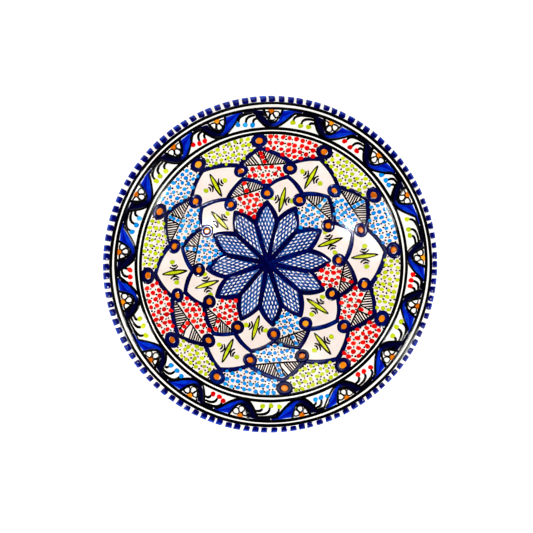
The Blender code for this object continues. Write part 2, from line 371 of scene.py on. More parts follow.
def wash_material():
    """A pale cream-pink tint over the ground of the cells in the hollow: painted shade for the hollow's
    dimmer light.
    """
    nodes = Nodes("cream_wash", 0.08)
    clouds = nodes.noise(nodes.position(), 70, 4)
    nodes.paint(nodes.ramp(clouds, (0.3, srgb(248, 231, 221)), (0.7, srgb(254, 242, 235))))
    nodes.bump(nodes.noise(nodes.position(), 420, 2), 0.00002)
    return nodes.material


MATERIALS = {
    "glaze": white_glaze_material(),
    "thin_glaze_and_shade": thin_glaze_and_shade_material(),
    "clay": clay_material(),
    "wash": wash_material(),
    "garland": garland_material(),
    "lip": lip_material(),
    "black": pigment_material("manganese_black", srgb(0, 0, 1), srgb(1, 1, 3), srgb(16, 15, 22), 0.3),
    "cobalt": pigment_material("cobalt", srgb(0, 0, 52), srgb(0, 4, 84), srgb(0, 52, 134), 0.44, 0.3),
    "net": pigment_material("thin_cobalt", srgb(0, 44, 116), srgb(10, 72, 150), srgb(84, 138, 206)),
    "red": pigment_material("red", srgb(206, 4, 2), srgb(246, 12, 6), srgb(255, 54, 30), 0.45),
    "lime": pigment_material("lime", srgb(164, 186, 0), srgb(203, 217, 6), srgb(226, 236, 54)),
    "blue": pigment_material("sky_blue", srgb(0, 124, 210), srgb(8, 160, 234), srgb(92, 204, 250), 0.45),
    "orange": pigment_material("orange", srgb(190, 92, 0), srgb(244, 136, 8), srgb(255, 178, 40), 0.5),
    "leaf": pigment_material("leaf_yellow", srgb(176, 194, 10), srgb(228, 232, 44), srgb(250, 248, 104)),
}


# ------------------------------------------------------------ turned solids
def finish_mesh(name, points, faces, material, slot, replaces=()):
    mesh = bpy.data.meshes.new(name)
    mesh.from_pydata([tuple(point) for point in points], [], faces)
    mesh.validate()
    mesh.shade_smooth()
    mesh.materials.append(MATERIALS[material])
    piece = bpy.data.objects.new(name, mesh)
    bpy.context.scene.collection.objects.link(piece)
    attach(piece, "root")
    if replaces:
        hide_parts(*replaces)
    return piece


def turned(name, outline, steps, material, slot, replaces):
    """A closed solid turned round +Z.  outline gives each point as a function of the angle.

    An outline that starts and ends on the axis closes there, any other is a closed loop.
    """
    points, rings, faces = [], [], []
    on_axis = outline[0](0.0).xy.length < MM * 0.001
    for i, point in enumerate(outline):
        if on_axis and i in (0, len(outline) - 1):
            rings.append([len(points)] * steps)
            points.append(point(0.0))
            continue
        rings.append(list(range(len(points), len(points) + steps)))
        points += [point(math.tau * step / steps) for step in range(steps)]
    pairs = list(zip(rings, rings[1:]))
    if not on_axis:
        pairs.append((rings[-1], rings[0]))
    for inner, outer in pairs:
        for i in range(steps):
            j = (i + 1) % steps
            corners = (inner[i], outer[i], outer[j], inner[j])
            faces.append(tuple(dict.fromkeys(corners)))
    finish_mesh(name, points, faces, material, slot, replaces)


def at(radius, height):
    """The same radius and height at every angle, with the slow wave of the thrown wall."""
    def point(angle):
        wave = unevenness(radius, angle) * min(height / 20, 1)
        return Vector((radius * math.cos(angle), radius * math.sin(angle), height + wave)) * MM
    return point


def over(reach, lift=0.0):
    return lambda angle: on_face(reach, angle, lift)


def rounded_corner(start, corner, end, count):
    points = []
    for share in spread(0, 1, count):
        points.append(tuple((1 - share) ** 2 * a + 2 * share * (1 - share) * b + share ** 2 * c
                            for a, b, c in zip(start, corner, end)))
    return points


def foot_side(foot_radius, wall_radius, lift=0.0):
    """Outline from the wall round the fillet and down a side of the foot; lift moves it inwards."""
    side = 1 if wall_radius > foot_radius else -1
    corner = (foot_radius, back_height(foot_radius))
    top = (foot_radius, corner[1] - FOOT_FILLET)
    wall = (wall_radius, back_height(wall_radius))
    outline = rounded_corner(wall, corner, top, 9)
    outline += [(foot_radius, height) for height in spread(top[1], BARE_FOOT + 0.3, 5)[1:]]
    return [(radius - side * lift, height + lift * (height > top[1])) for radius, height in outline]


LIP_JOIN = LIP_CENTRE + math.radians(148) * LIP_ROUNDING   # reach at which face and back glaze meet
LIP_END = LIP_CENTRE + math.pi * LIP_ROUNDING
BACK_END = (FOOT_OUTER + FOOT_FILLET) * SPHERE / (SPHERE + WALL)   # the face above the foot's fillet
FACE_STEPS, BACK_STEPS, FOOT_STEPS = 288, 240, 180


def make_glaze():
    reaches = spread(0, EDGE_START, 76) + spread(EDGE_START, EDGE_END, 11)[1:]
    reaches += spread(EDGE_END, LIP_CENTRE, 17)[1:] + spread(LIP_CENTRE, LIP_JOIN, 15)[1:]
    face = [over(reach) for reach in reaches]
    face += [over(reach, -GLAZE) for reach in reversed(reaches[4:])] + [at(0, hollow_height(0) - GLAZE)]
    turned("glazed_face", face, FACE_STEPS, "glaze", "white_glaze", ["face_glaze"])

    wall_start = FOOT_OUTER + FOOT_FILLET
    under = []
    for radius in spread(LIP_CENTRE - 1, BACK_END, 46):
        slope = face_slope(radius)
        length = math.hypot(1, slope)
        under.append((radius, slope / length, 1 / length))
    lip = spread(LIP_JOIN - 0.2, LIP_END, 5)
    outer = [over(reach, -0.03) for reach in lip]
    outer += [at(r + WALL * across, face_height(r) - WALL * up) for r, across, up in under]
    outer += [at(*point) for point in foot_side(FOOT_OUTER, wall_start)[1:]]
    inner = [at(*point) for point in reversed(foot_side(FOOT_OUTER, wall_start, GLAZE)[1:])]
    inner += [at(r + (WALL - GLAZE) * across, face_height(r) - (WALL - GLAZE) * up)
              for r, across, up in reversed(under)]
    inner += [over(reach, -GLAZE) for reach in reversed(lip)]
    turned("glazed_back", outer + inner, BACK_STEPS, "thin_glaze_and_shade", "white_glaze", ["back_glaze"])

    ceiling_end = FOOT_INNER - FOOT_FILLET
    side = foot_side(FOOT_INNER, ceiling_end)
    hidden = foot_side(FOOT_INNER, ceiling_end, GLAZE)
    ceiling = spread(ceiling_end, 0, 20)[1:-1]
    recess = [at(0, back_height(0) + GLAZE)] + [at(r, back_height(r) + GLAZE) for r in ceiling[::-1]]
    recess += [at(*point) for point in hidden] + [at(*point) for point in side[::-1]]
    recess += [at(r, back_height(r)) for r in ceiling] + [at(0, back_height(0))]
    turned("glazed_recess", recess, FOOT_STEPS, "thin_glaze_and_shade", "white_glaze", ["foot_glaze"])


def make_clay():
    """The thrown body under the glaze, bare at the foot's resting ring."""
    depth = GLAZE + CLAY_GAP
    skin = [over(reach, -depth) for reach in spread(0, LIP_CENTRE, 40)]
    skin += [over(reach, -depth) for reach in spread(LIP_CENTRE, LIP_END, 9)[1:]]
    for radius in spread(LIP_CENTRE - 2, BACK_END, 20):
        slope = face_slope(radius)
        reach = (WALL - depth) / math.hypot(1, slope)
        skin.append(at(radius + reach * slope, face_height(radius) - reach))
    skin += [at(*point) for point in foot_side(FOOT_OUTER, FOOT_OUTER + FOOT_FILLET, depth)[1:-1]]
    skin.append(at(FOOT_OUTER - depth, BARE_FOOT + 0.4))
    low = FOOT_CHAMFER * 0.3
    foot = [(FOOT_OUTER - 0.15, BARE_FOOT + 0.4), (FOOT_OUTER, BARE_FOOT), (FOOT_OUTER, FOOT_CHAMFER),
            (FOOT_OUTER - low, low), (FOOT_OUTER - FOOT_CHAMFER, 0), (FOOT_INNER + FOOT_CHAMFER, 0),
            (FOOT_INNER + low, low), (FOOT_INNER, FOOT_CHAMFER), (FOOT_INNER, BARE_FOOT),
            (FOOT_INNER + 0.15, BARE_FOOT + 0.4)]
    skin += [at(*point) for point in foot]
    recess = foot_side(FOOT_INNER, FOOT_INNER - FOOT_FILLET, depth)[::-1]
    skin.append(at(FOOT_INNER + depth, BARE_FOOT + 0.4))
    skin += [at(*point) for point in recess[1:]]
    skin += [at(r, back_height(r) + depth) for r in spread(FOOT_INNER - FOOT_FILLET, 0, 12)[1:]]
    turned("thrown_clay", skin, FOOT_STEPS, "clay", "bare_earthenware", ["clay_body"])


# ------------------------------------------------------------ brushwork
PROFILE = ((-1.0, 0.0), (-0.88, 0.75), (0.0, 1.0), (0.88, 0.75), (1.0, 0.0))
ROUND_TIP = ((0.5, 0.87), (0.85, 0.53), (1.0, 0.12))
BLUNT_TIP = ((0.25, 0.97), (0.4, 0.82), (0.48, 0.5), (0.5, 0.1))
SPREAD = 0.45                 # loaded pigment spreads this much wider than the brush
SUNK = -0.05                  # a stroke's outline runs this far under the glaze's surface


class Coat:
    """All strokes of one colour, gathered into one mesh."""

    def __init__(self, name, material, slot, layer, crown=0.08, replaces=()):
        self.name, self.material, self.slot, self.replaces = name, material, slot, replaces
        self.layer, self.crown = layer, crown
        self.points, self.faces = [], []
        self.values = {"tone": [], "across": [], "along": []}

    def point(self, spot, rise, tone, across, along):
        """Add a point; rise is 0 at the stroke's outline and 1 on its crest."""
        lift = SUNK if rise == 0 else self.layer + rise * self.crown
        self.points.append(on_face(spot.length, math.atan2(spot.y, spot.x), lift))
        for key, value in (("tone", tone), ("across", across), ("along", along)):
            self.values[key].append(value)
        return len(self.points) - 1

    def rows(self, rows, closed=False):
        pairs = list(zip(rows, rows[1:]))
        if closed:
            pairs.append((rows[-1], rows[0]))
        for row, following in pairs:
            for i in range(len(row) - 1):
                self.faces.append((row[i], following[i], following[i + 1], row[i + 1]))

    def stroke(self, path, width, closed=False, tone=None, blunt=False):
        """A brush stroke along path.  width is a number or a function of the share of the path.

        A closed path's items are (spot, scale, share) already; an open one gets round tips, or
        square tips with rounded corners when it is blunt.
        """
        tone = hand.random() if tone is None else tone
        wide = width if callable(width) else lambda share: width
        if not closed:
            path = self.with_tips(path, wide, BLUNT_TIP if blunt else ROUND_TIP)
        lengths = [0.0]
        for a, b in zip(path, path[1:]):
            lengths.append(lengths[-1] + (b[0] - a[0]).length)
        rows = []
        for i, (spot, scale, share) in enumerate(path):
            before = path[i - 1][0] if (i or closed) else spot
            after = path[(i + 1) % len(path)][0] if (i + 1 < len(path) or closed) else spot
            run = (after - before).normalized()
            side = Vector((-run.y, run.x)) * (wide(share) + SPREAD) / 2 * scale
            rows.append([self.point(spot + side * across, rise * min(scale * 2, 1), tone, across, lengths[i])
                         for across, rise in PROFILE])
        self.rows(rows, closed)

    @staticmethod
    def with_tips(path, wide, tip):
        """The path with both ends carried on by a tip that narrows to nothing."""
        count = len(path) - 1
        body = [(spot, 1.0, i / count) for i, spot in enumerate(path)]
        start = (path[0] - path[1]).normalized() * wide(0) / 2
        end = (path[-1] - path[-2]).normalized() * wide(1) / 2
        return ([(path[0] + start * out, scale, 0.0) for out, scale in reversed(tip)] + body
                + [(path[-1] + end * out, scale, 1.0) for out, scale in tip])

    def dab(self, spot, radius, stretch=1.0, heading=0.0, steps=16):
        """A round dab, stretched along heading (degrees), with an outline that isn't quite true."""
        tone = hand.random()
        phase = hand.uniform(0, math.tau)
        turn = Matrix.Rotation(math.radians(heading), 2)
        radius += SPREAD / 2
        centre = self.point(spot, 1.0, tone, 0.0, 0.0)
        rings = []
        for share, rise in ((0.5, 0.95), (0.9, 0.7), (1.0, 0.0)):
            ring = []
            for i in range(steps):
                angle = math.tau * i / steps
                wobble = 1 + 0.07 * math.sin(2 * angle + phase) + 0.05 * math.sin(3 * angle - 2 * phase)
                out = Vector((math.cos(angle) * stretch, math.sin(angle))) * radius * share * wobble
                ring.append(self.point(spot + turn @ out, rise, tone, share, radius * share))
            rings.append(ring)
        for i in range(steps):
            j = (i + 1) % steps
            self.faces.append((centre, rings[0][i], rings[0][j]))
            for inner, outer in zip(rings, rings[1:]):
                self.faces.append((inner[i], outer[i], outer[j], inner[j]))

    def fill(self, rows, tone=0.5):
        """An area between the first and last point of each row, its outline sunk in the glaze."""
        last = len(rows) - 1
        indices = []
        for i, row in enumerate(rows):
            end = len(row) - 1
            indices.append([self.point(spot, 0 if i in (0, last) or j in (0, end) else 1,
                                       tone(i / last, j / end) if callable(tone) else tone,
                                       2 * j / end - 1, spot.length)
                            for j, spot in enumerate(row)])
        self.rows(indices)

    def make(self):
        piece = finish_mesh(self.name, self.points, self.faces, self.material, self.slot, self.replaces)
        for key, values in self.values.items():
            attribute = piece.data.attributes.new(key, "FLOAT", "POINT")
            attribute.data.foreach_set("value", values)


COBALT_SLOT = "cobalt_pigment"
BLACK_SLOT = "black_pigment"
coats = {
    # painted shade: a cream-pink tint over the cells' ground in the hollow
    "wash": Coat("cream_wash", "wash", "white_glaze", 0.0, 0.02),
    "net": Coat("petal_net", "net", "cobalt_wash", 0.02, 0.05),
    "petals": Coat("flower_outline", "cobalt", "cobalt_wash", 0.05, 0.08, ["centre_flower"]),
    "arches": Coat("arches", "cobalt", COBALT_SLOT, 0.05, 0.08, ["outer_arches", "inner_arches"]),
    "eyes": Coat("eye_rings", "cobalt", COBALT_SLOT, 0.07, 0.09),
    "eye_dots": Coat("eye_dots", "orange", "white_glaze", 0.04, 0.10),
    "lines": Coat("rim_lines", "black", BLACK_SLOT, 0.07, 0.07, ["rim_line_outer", "rim_line_inner"]),
    "well_lines": Coat("well_lines", "black", BLACK_SLOT, 0.07, 0.07,
                       ["well_line_outer", "well_line_inner"]),
    "garland": Coat("garland", "garland", "royal_blue_pigment", 0.03, 0.05, ["border_garland"]),
    "garland_lines": Coat("garland_outlines", "black", BLACK_SLOT, 0.07, 0.08),
    "commas": Coat("comma_strokes", "black", BLACK_SLOT, 0.04, 0.08),
    "red": Coat("red_dots", "red", "white_glaze", 0.05, 0.10),
    "lime": Coat("lime_dots", "lime", "white_glaze", 0.05, 0.09),
    "blue": Coat("blue_dots", "blue", "white_glaze", 0.05, 0.10),
    "specks": Coat("black_dots", "black", BLACK_SLOT, 0.09, 0.09),
    "hatching": Coat("hatching", "black", BLACK_SLOT, 0.03, 0.06),
    "leaves": Coat("leaves", "leaf", "white_glaze", 0.10, 0.07),
    "leaf_lines": Coat("leaf_strokes", "black", BLACK_SLOT, 0.13, 0.07),
    "dabs": Coat("lip_dabs", "lip", COBALT_SLOT, 0.03, 0.12),
}


def spaced_by_eye(first, count, index):
    """Degrees of a mark set clockwise from the first, a little off its even place.

    The index may run past the last mark, or below the first, and goes on round the plate.
    """
    turns, place = divmod(index, count)
    return first - 360 / count * place + STRAY * math.sin(STRAY_RHYTHM * place + first) - 360 * turns


def eye_degrees(ring, index):
    return spaced_by_eye(ring["first"], EYES, index)


def swell(share, bulge):
    return share + bulge * share * (1 - share)


def unswell(rise, bulge):
    """The share at which swell reaches rise."""
    return ((1 + bulge) - math.sqrt(max((1 + bulge) ** 2 - 4 * bulge * rise, 0))) / (2 * bulge)


def flank(radii, from_degrees, to_degrees, bulge, count=14):
    """One side of a pointed arch or petal, from its foot to its point."""
    return [polar(radii[0] + (radii[1] - radii[0]) * swell(share, bulge),
                  from_degrees + (to_degrees - from_degrees) * share)
            for share in spread(0, 1, count)]


def bezier(start, pull, end, count=12):
    return [start * (1 - share) ** 2 + pull * 2 * share * (1 - share) + end * share ** 2
            for share in spread(0, 1, count)]


def brushed(width, variation=0.12):
    """A stroke width that swells and thins a little along the stroke."""
    phase, pace = hand.uniform(0, 6.3), hand.uniform(2, 5)
    return lambda share: width * (1 + variation * math.sin(phase + pace * share))


INNER, MIDDLE, OUTER = EYE_RINGS


# ------------------------------------------------------------ the net of arches and eyes
def paint_arches():
    for k in range(EYES):
        for radii, foot, peak, step in ((INNER_ARCH, INNER, MIDDLE, 0), (OUTER_ARCH, MIDDLE, OUTER, 1)):
            foot_at = eye_degrees(foot, k)
            for neighbour in (k - 1 + step, k + step):
                path = flank(radii, foot_at, eye_degrees(peak, neighbour), ARCH_BULGE)
                coats["arches"].stroke(path, brushed(ARCH_WIDTH))


def paint_eyes():
    for ring in EYE_RINGS:
        for k in range(EYES):
            degrees = eye_degrees(ring, k)
            centre = polar(ring["radius"], degrees)
            out = polar(1, degrees)
            sideways = Vector((-out.y, out.x))
            squash = 1 + hand.uniform(-0.12, 0.1)
            hole = (ring["hole"][0] * squash, ring["hole"][1])
            loop, widths = [], []
            for angle in spread(0, math.tau, 27)[:-1]:
                turn = (math.cos(angle), math.sin(angle))
                inside, outside = [out * size[0] * turn[0] + sideways * size[1] * turn[1]
                                   for size in (hole, ring["outside"])]
                loop.append((centre + (inside + outside) / 2, 1.0, len(widths)))
                widths.append((outside - inside).length * hand.uniform(0.96, 1.04))
            coats["eyes"].stroke(loop, lambda index: widths[index], closed=True)
            dot = hole[0] * 1.02
            slack = max(hole[1] - dot * 1.1, 0)
            shift = sideways * hand.uniform(-slack, slack) * 1.3
            coats["eye_dots"].dab(centre + shift, dot, 1.1, degrees + 90, 18)


# ------------------------------------------------------------ the flower
def petal_angles(k):
    tip = eye_degrees(INNER, k)
    left = (tip + eye_degrees(INNER, k - 1)) / 2
    right = (tip + eye_degrees(INNER, k + 1)) / 2
    return left, tip, right


def paint_flower():
    for k in range(EYES):
        left, tip, right = petal_angles(k)
        for valley in (left, right):
            coats["petals"].stroke(flank(PETAL, valley, tip, PETAL_BULGE, 12), brushed(4.2))
        ray = [polar(radius, right) for radius in spread(1, PETAL[0], 12)]
        coats["petals"].stroke(ray, lambda share: 4.9 - 0.6 * share)
    coats["petals"].dab(Vector((0.3, -0.2)), 5.6, 1.1, 30, 24)
    for k in range(EYES):
        paint_petal_net(*petal_angles(k))


NET_SLANT = 21                # degrees off the petal's axis
NET_PITCH = 2.95
NET_WIDTH = 1.15


def paint_petal_net(left, tip, right):
    """Two families of slanting strokes across a petal, clipped by its outline."""
    middle = (left + right) / 2
    axis = polar(1, tip)
    for slant in (-NET_SLANT, NET_SLANT):
        heading = polar(1, tip + slant)
        sideways = Vector((-heading.y, heading.x))
        for step in range(-9, 10):
            start = axis * 30 + sideways * (step * NET_PITCH + hand.uniform(-0.18, 0.18))
            run = [start + heading * along for along in spread(-40, 40, 81)]
            inside = [spot for spot in run if in_petal(spot, left, tip, right, middle)]
            if len(inside) > 2:
                bend = hand.uniform(-0.25, 0.25)
                count = len(inside) - 1
                path = [spot + sideways * bend * math.sin(math.pi * i / count)
                        for i, spot in enumerate(inside)][::2]
                if len(path) > 1:
                    coats["net"].stroke(path, brushed(NET_WIDTH))


def in_petal(spot, left, tip, right, middle):
    degrees = middle + (math.degrees(math.atan2(spot.y, spot.x)) - middle + 180) % 360 - 180
    if not min(left, right) < degrees < max(left, right) or spot.length < 5:
        return False
    valley = left if degrees > tip else right
    share = (degrees - valley) / (tip - valley)
    return spot.length < PETAL[0] + (PETAL[1] - PETAL[0]) * swell(share, PETAL_BULGE)


# ------------------------------------------------------------ the cells between the arches
class Cell:
    """A cell of the net: two lower flanks, two upper flanks, an eye at each side."""

    def __init__(self, lower, lower_bulge, upper, foot, sides, crest, eyes):
        self.lower, self.lower_bulge, self.upper = lower, lower_bulge, upper
        self.foot, self.sides, self.crest, self.eyes = foot, sides, crest, eyes
        self.middle = (crest + foot) / 2

    def bounds(self, radius):
        """Angles of the left and right side of the cell at a radius."""
        angles = []
        for side in self.sides:
            if radius < self.lower[1]:
                rise = max((radius - self.lower[0]) / (self.lower[1] - self.lower[0]), 0)
                share = unswell(rise, self.lower_bulge)
                angles.append(self.foot + (side - self.foot) * share)
            elif self.upper and radius > self.upper[0]:
                rise = min((radius - self.upper[0]) / (self.upper[1] - self.upper[0]), 1)
                angles.append(side + (self.crest - side) * unswell(rise, ARCH_BULGE))
            else:
                angles.append(side)
        return angles

    def clear(self, spot, margin):
        """Whether a dot of this radius at spot stays off the eyes at the cell's corners."""
        return all((spot - centre).length > size + margin for centre, size in self.eyes)

    def inside(self, spot, margin):
        """Whether a spot keeps this far from the cell's two sides."""
        radius = spot.length
        left, right = self.bounds(radius)
        middle = (left + right) / 2
        turn = (math.degrees(math.atan2(spot.y, spot.x)) - middle + 180) % 360 - 180
        return arc(abs(turn), radius) < arc((left - right) / 2, radius) - margin

    def ground(self, coat, top):
        rows = []
        for radius in spread(self.lower[0] + 0.5, top - 0.3, 14):
            left, right = self.bounds(radius)
            rows.append([polar(radius, degrees) for degrees in spread(left, right, 11)])
        coat.fill(rows)


def eye_spot(ring, k):
    return polar(ring["radius"], eye_degrees(ring, k)), ring["outside"][0]


def inner_cell(k):
    left, right, crest = eye_degrees(INNER, k), eye_degrees(INNER, k + 1), eye_degrees(MIDDLE, k)
    return Cell(PETAL, PETAL_BULGE, INNER_ARCH, (left + right) / 2, (left, right), crest,
                [eye_spot(INNER, k), eye_spot(INNER, k + 1), eye_spot(MIDDLE, k)])


def middle_cell(k):
    left, right = eye_degrees(MIDDLE, k - 1), eye_degrees(MIDDLE, k)
    return Cell(INNER_ARCH, ARCH_BULGE, OUTER_ARCH, eye_degrees(INNER, k), (left, right),
                eye_degrees(OUTER, k),
                [eye_spot(MIDDLE, k - 1), eye_spot(MIDDLE, k), eye_spot(OUTER, k), eye_spot(INNER, k)])


def outer_cell(k):
    left, right = eye_degrees(OUTER, k), eye_degrees(OUTER, k + 1)
    return Cell(OUTER_ARCH, ARCH_BULGE, None, eye_degrees(MIDDLE, k), (left, right),
                (left + right) / 2, [eye_spot(OUTER, k), eye_spot(OUTER, k + 1), eye_spot(MIDDLE, k)])


DOT_SIZE = {"red": 1.98, "lime": 1.7, "blue": 1.72}
DOT_PITCH = {"red": 6.3, "lime": 5.9, "blue": 5.9}
SPECK = 0.6


def paint_dots(cell, color, low, high):
    """Rows of colour dots that follow the cell's curve, then black specks in the gaps."""
    size, pitch = DOT_SIZE[color], DOT_PITCH[color]
    spots = []
    for row, radius in enumerate(spread(low, high, max(round((high - low) / (pitch * 0.88)), 1) + 1)):
        left, right = cell.bounds(radius)
        free = arc(left - right, radius) - 2 * (ARCH_WIDTH / 2 + size)
        if free < -0.3 * size:
            continue
        count = max(round(free / pitch + (0.5 if row % 2 else 0.9)), 1)
        for i in range(count):
            along = (i - (count - 1) / 2) * min(pitch, max(free, 0) / max(count - 1, 1))
            along += hand.uniform(-0.7, 0.7)
            degrees = (left + right) / 2 + math.degrees(along / radius)
            spot = polar(radius + hand.uniform(-0.7, 0.7), degrees)
            if cell.clear(spot, size * 0.6):
                spots.append(spot)
                coats[color].dab(spot, size * hand.uniform(0.88, 1.12), hand.uniform(1.03, 1.22),
                                 hand.uniform(-25, 25), 14)
    specks = []
    for _ in range(500):
        radius = hand.uniform(low - 3.5, high + 2)
        left, right = cell.bounds(radius)
        spot = polar(radius, hand.uniform(right, left))
        if (cell.clear(spot, 1.2) and cell.inside(spot, ARCH_WIDTH / 2 + 0.8)
                and all((spot - other).length > size + 0.9 for other in spots)
                and all((spot - other).length > 2.5 for other in specks)):
            specks.append(spot)
            coats["specks"].dab(spot, SPECK * hand.uniform(0.8, 1.25), 1.2, hand.uniform(0, 180), 8)


def line_hit(start, heading, first, second):
    """Distance along heading from start to the line through two points, or infinity."""
    side = second - first
    across = heading.x * side.y - heading.y * side.x
    if abs(across) < 1e-6:
        return math.inf
    gap = first - start
    distance = (gap.x * side.y - gap.y * side.x) / across
    return distance if distance > 0 else math.inf


def straight(start, end, count=5):
    return [start + (end - start) * share for share in spread(0, 1, count)]


def paint_pattern_cell(cell, color):
    """Colour dots below a chord between the side eyes, and hatched corners above it."""
    feet = [polar(cell.upper[0] + 0.4, side) for side in cell.sides]
    peak = polar(cell.upper[1] - 1.0, cell.crest)
    chord_middle = (feet[0] + feet[1]) / 2
    axis = (peak - chord_middle).normalized()
    height = (peak - chord_middle).length
    sag = -axis * 0.8
    chord = bezier(feet[0], chord_middle + sag, feet[1], 14)
    coats["hatching"].stroke(chord, brushed(1.2, 0.15))
    for foot, side in zip(feet, cell.sides):
        towards = (foot - chord_middle).normalized()
        low = chord_middle + towards * 2.9
        high = chord_middle + towards * 2.3 + axis * (height - 3.0)
        coats["hatching"].stroke(straight(low, high), 1.1)
        paint_hatching(flank(cell.upper, side, cell.crest, ARCH_BULGE, 60), chord_middle, feet, low, high)
    size = DOT_SIZE[color]
    for place in spread(2.4, height - 3.6, max(round((height - 4) / 4.0), 2)):
        spot = chord_middle + axis * place + Vector((hand.uniform(-0.4, 0.4), hand.uniform(-0.4, 0.4)))
        coats[color].dab(spot, size * 0.95, 1.15, hand.uniform(-25, 25), 14)
        coats["specks"].dab(spot + Vector((hand.uniform(-1.6, 1.6), 2.0)), SPECK, 1, 0, 8)
    paint_dots(cell, color, cell.lower[0] + 5.6, chord_middle.length - 3.3)


HATCH_PITCH = 2.2
HATCH_START = 3.4             # along the arch from its foot to the first stroke


def paint_hatching(arch, chord_middle, feet, low, high):
    """Wedge-shaped strokes at right angles to the arch, down to the chord or the strip beside it."""
    run = (arch[-1] - arch[0]).normalized()
    inward = Vector((-run.y, run.x))
    if inward.dot(chord_middle - arch[0]) < 0:
        inward = -inward
    travelled, want = 0.0, HATCH_START
    for before, spot in zip(arch, arch[1:]):
        travelled += (spot - before).length
        if travelled < want:
            continue
        want += HATCH_PITCH + hand.uniform(-0.15, 0.15)
        reach = min(line_hit(spot, inward, *feet), line_hit(spot, inward, low, high))
        if 2.6 < reach < 14:
            end = spot + inward * (reach - 0.2 + hand.uniform(-0.5, 0.1))
            coats["hatching"].stroke(straight(spot, end), lambda share: 1.25 - 0.3 * share)


BRACKETS = ((3.5, 3.9, 2.1), (6.2, 2.2, 0.9))   # distance from the leaf, half length, bow
LEAF_DOT_DISTANCE = 10.3


def paint_leaf_cell(cell):
    """A yellow leaf on the cell's axis with brackets and a lime dot on either side."""
    low, high = cell.lower[0] + 6.0, cell.upper[1] - 7.0
    centre = polar((low + high) / 2, cell.middle)
    axis = polar(1, cell.middle + hand.uniform(-8, 8))
    sideways = Vector((-axis.y, axis.x))
    length = min(high - low, 24.0)
    slip = sideways * hand.uniform(-1.2, 1.2) + axis * hand.uniform(-1.2, 1.2)
    body = straight(centre - axis * length * 0.44, centre + axis * length * 0.44, 12)
    for coat, off, size in (("lime", slip, 1.6), ("leaves", Vector((0, 0)), 3.1)):
        coats[coat].stroke([spot + off for spot in body],
                           lambda share: 1.2 + size * math.sin(math.pi * share) ** 0.7)
    for side in (-1, 1):
        edge = [centre + axis * length * share + sideways * side * 2.0 * math.cos(math.pi * share) ** 0.8
                for share in spread(-0.5, 0.5, 14)]
        coats["leaf_lines"].stroke(edge, brushed(0.95, 0.3))
        for out, reach, bow in BRACKETS:
            shift = hand.uniform(-0.7, 0.7)
            bracket = [centre + sideways * side * (out + bow * share ** 2)
                       + axis * (reach * share + shift) for share in spread(-1, 1, 8)]
            coats["leaf_lines"].stroke(bracket, lambda share: 0.9 + 0.6 * math.sin(math.pi * share))
        spot = centre + sideways * side * (LEAF_DOT_DISTANCE + hand.uniform(-0.8, 0.8))
        spot += axis * hand.uniform(-1.6, 1.6)
        coats["lime"].dab(spot, 2.1, 1.15, hand.uniform(-30, 30), 14)


def paint_cells():
    for k in range(EYES):
        cell = outer_cell(k)
        # painted shade: each cell's ground gets the cream-pink tint
        cell.ground(coats["wash"], WELL_LINES[1])
        paint_dots(cell, OUTER_CELLS[k % len(OUTER_CELLS)], OUTER_ARCH[0] + 6.2, WELL_LINES[1] - 3.9)
        for cell, kinds in ((middle_cell(k), OUTER_RING_CELLS), (inner_cell(k), INNER_RING_CELLS)):
            kind = kinds[k % len(kinds)]
            cell.ground(coats["wash"], cell.upper[1])
            if kind == "leaf":
                paint_leaf_cell(cell)
            else:
                paint_pattern_cell(cell, kind)


# ------------------------------------------------------------ the border
def ring_path(radius, count=360):
    """A banding line, true to about a fifth of a millimetre."""
    phase = hand.uniform(0, math.tau)
    path = []
    for i in range(count):
        angle = math.tau * i / count
        wander = 0.14 * math.sin(3 * angle + phase) + 0.08 * math.sin(7 * angle - phase)
        path.append((polar(radius + wander, math.degrees(angle)), 1.0, i / count))
    return path


def banded(width):
    """The width of a banding line, which swells where the brush was pressed."""
    phase = hand.uniform(0, math.tau)
    return lambda share: width * (1 + 0.08 * math.sin(math.tau * 3 * share + phase)
                                  + 0.05 * math.sin(math.tau * 11 * share - phase))


def paint_lines():
    for key, radii in (("lines", RIM_LINES), ("well_lines", WELL_LINES)):
        for radius in radii:
            coats[key].stroke(ring_path(radius), banded(LINE_WIDTH), closed=True)


BORDER_TOP = RIM_LINES[1] - LINE_WIDTH / 2 + 0.4
BORDER_DEPTH = BORDER_TOP - (WELL_LINES[0] + LINE_WIDTH / 2)


def border_spot(lobe, along, depth):
    """A spot in the border: along is clockwise from the lobe's middle, depth in from the rim line."""
    radius = BORDER_TOP - depth
    return polar(radius, lobe - math.degrees(along / RIM_LINES[1]))


def bell(position, start, end, fullness):
    """0 at start and end, 1 half way; a higher fullness gives steeper sides."""
    share = (position - start) / (end - start)
    if not 0 < share < 1:
        return 0.0
    return 1 - abs(2 * share - 1) ** fullness


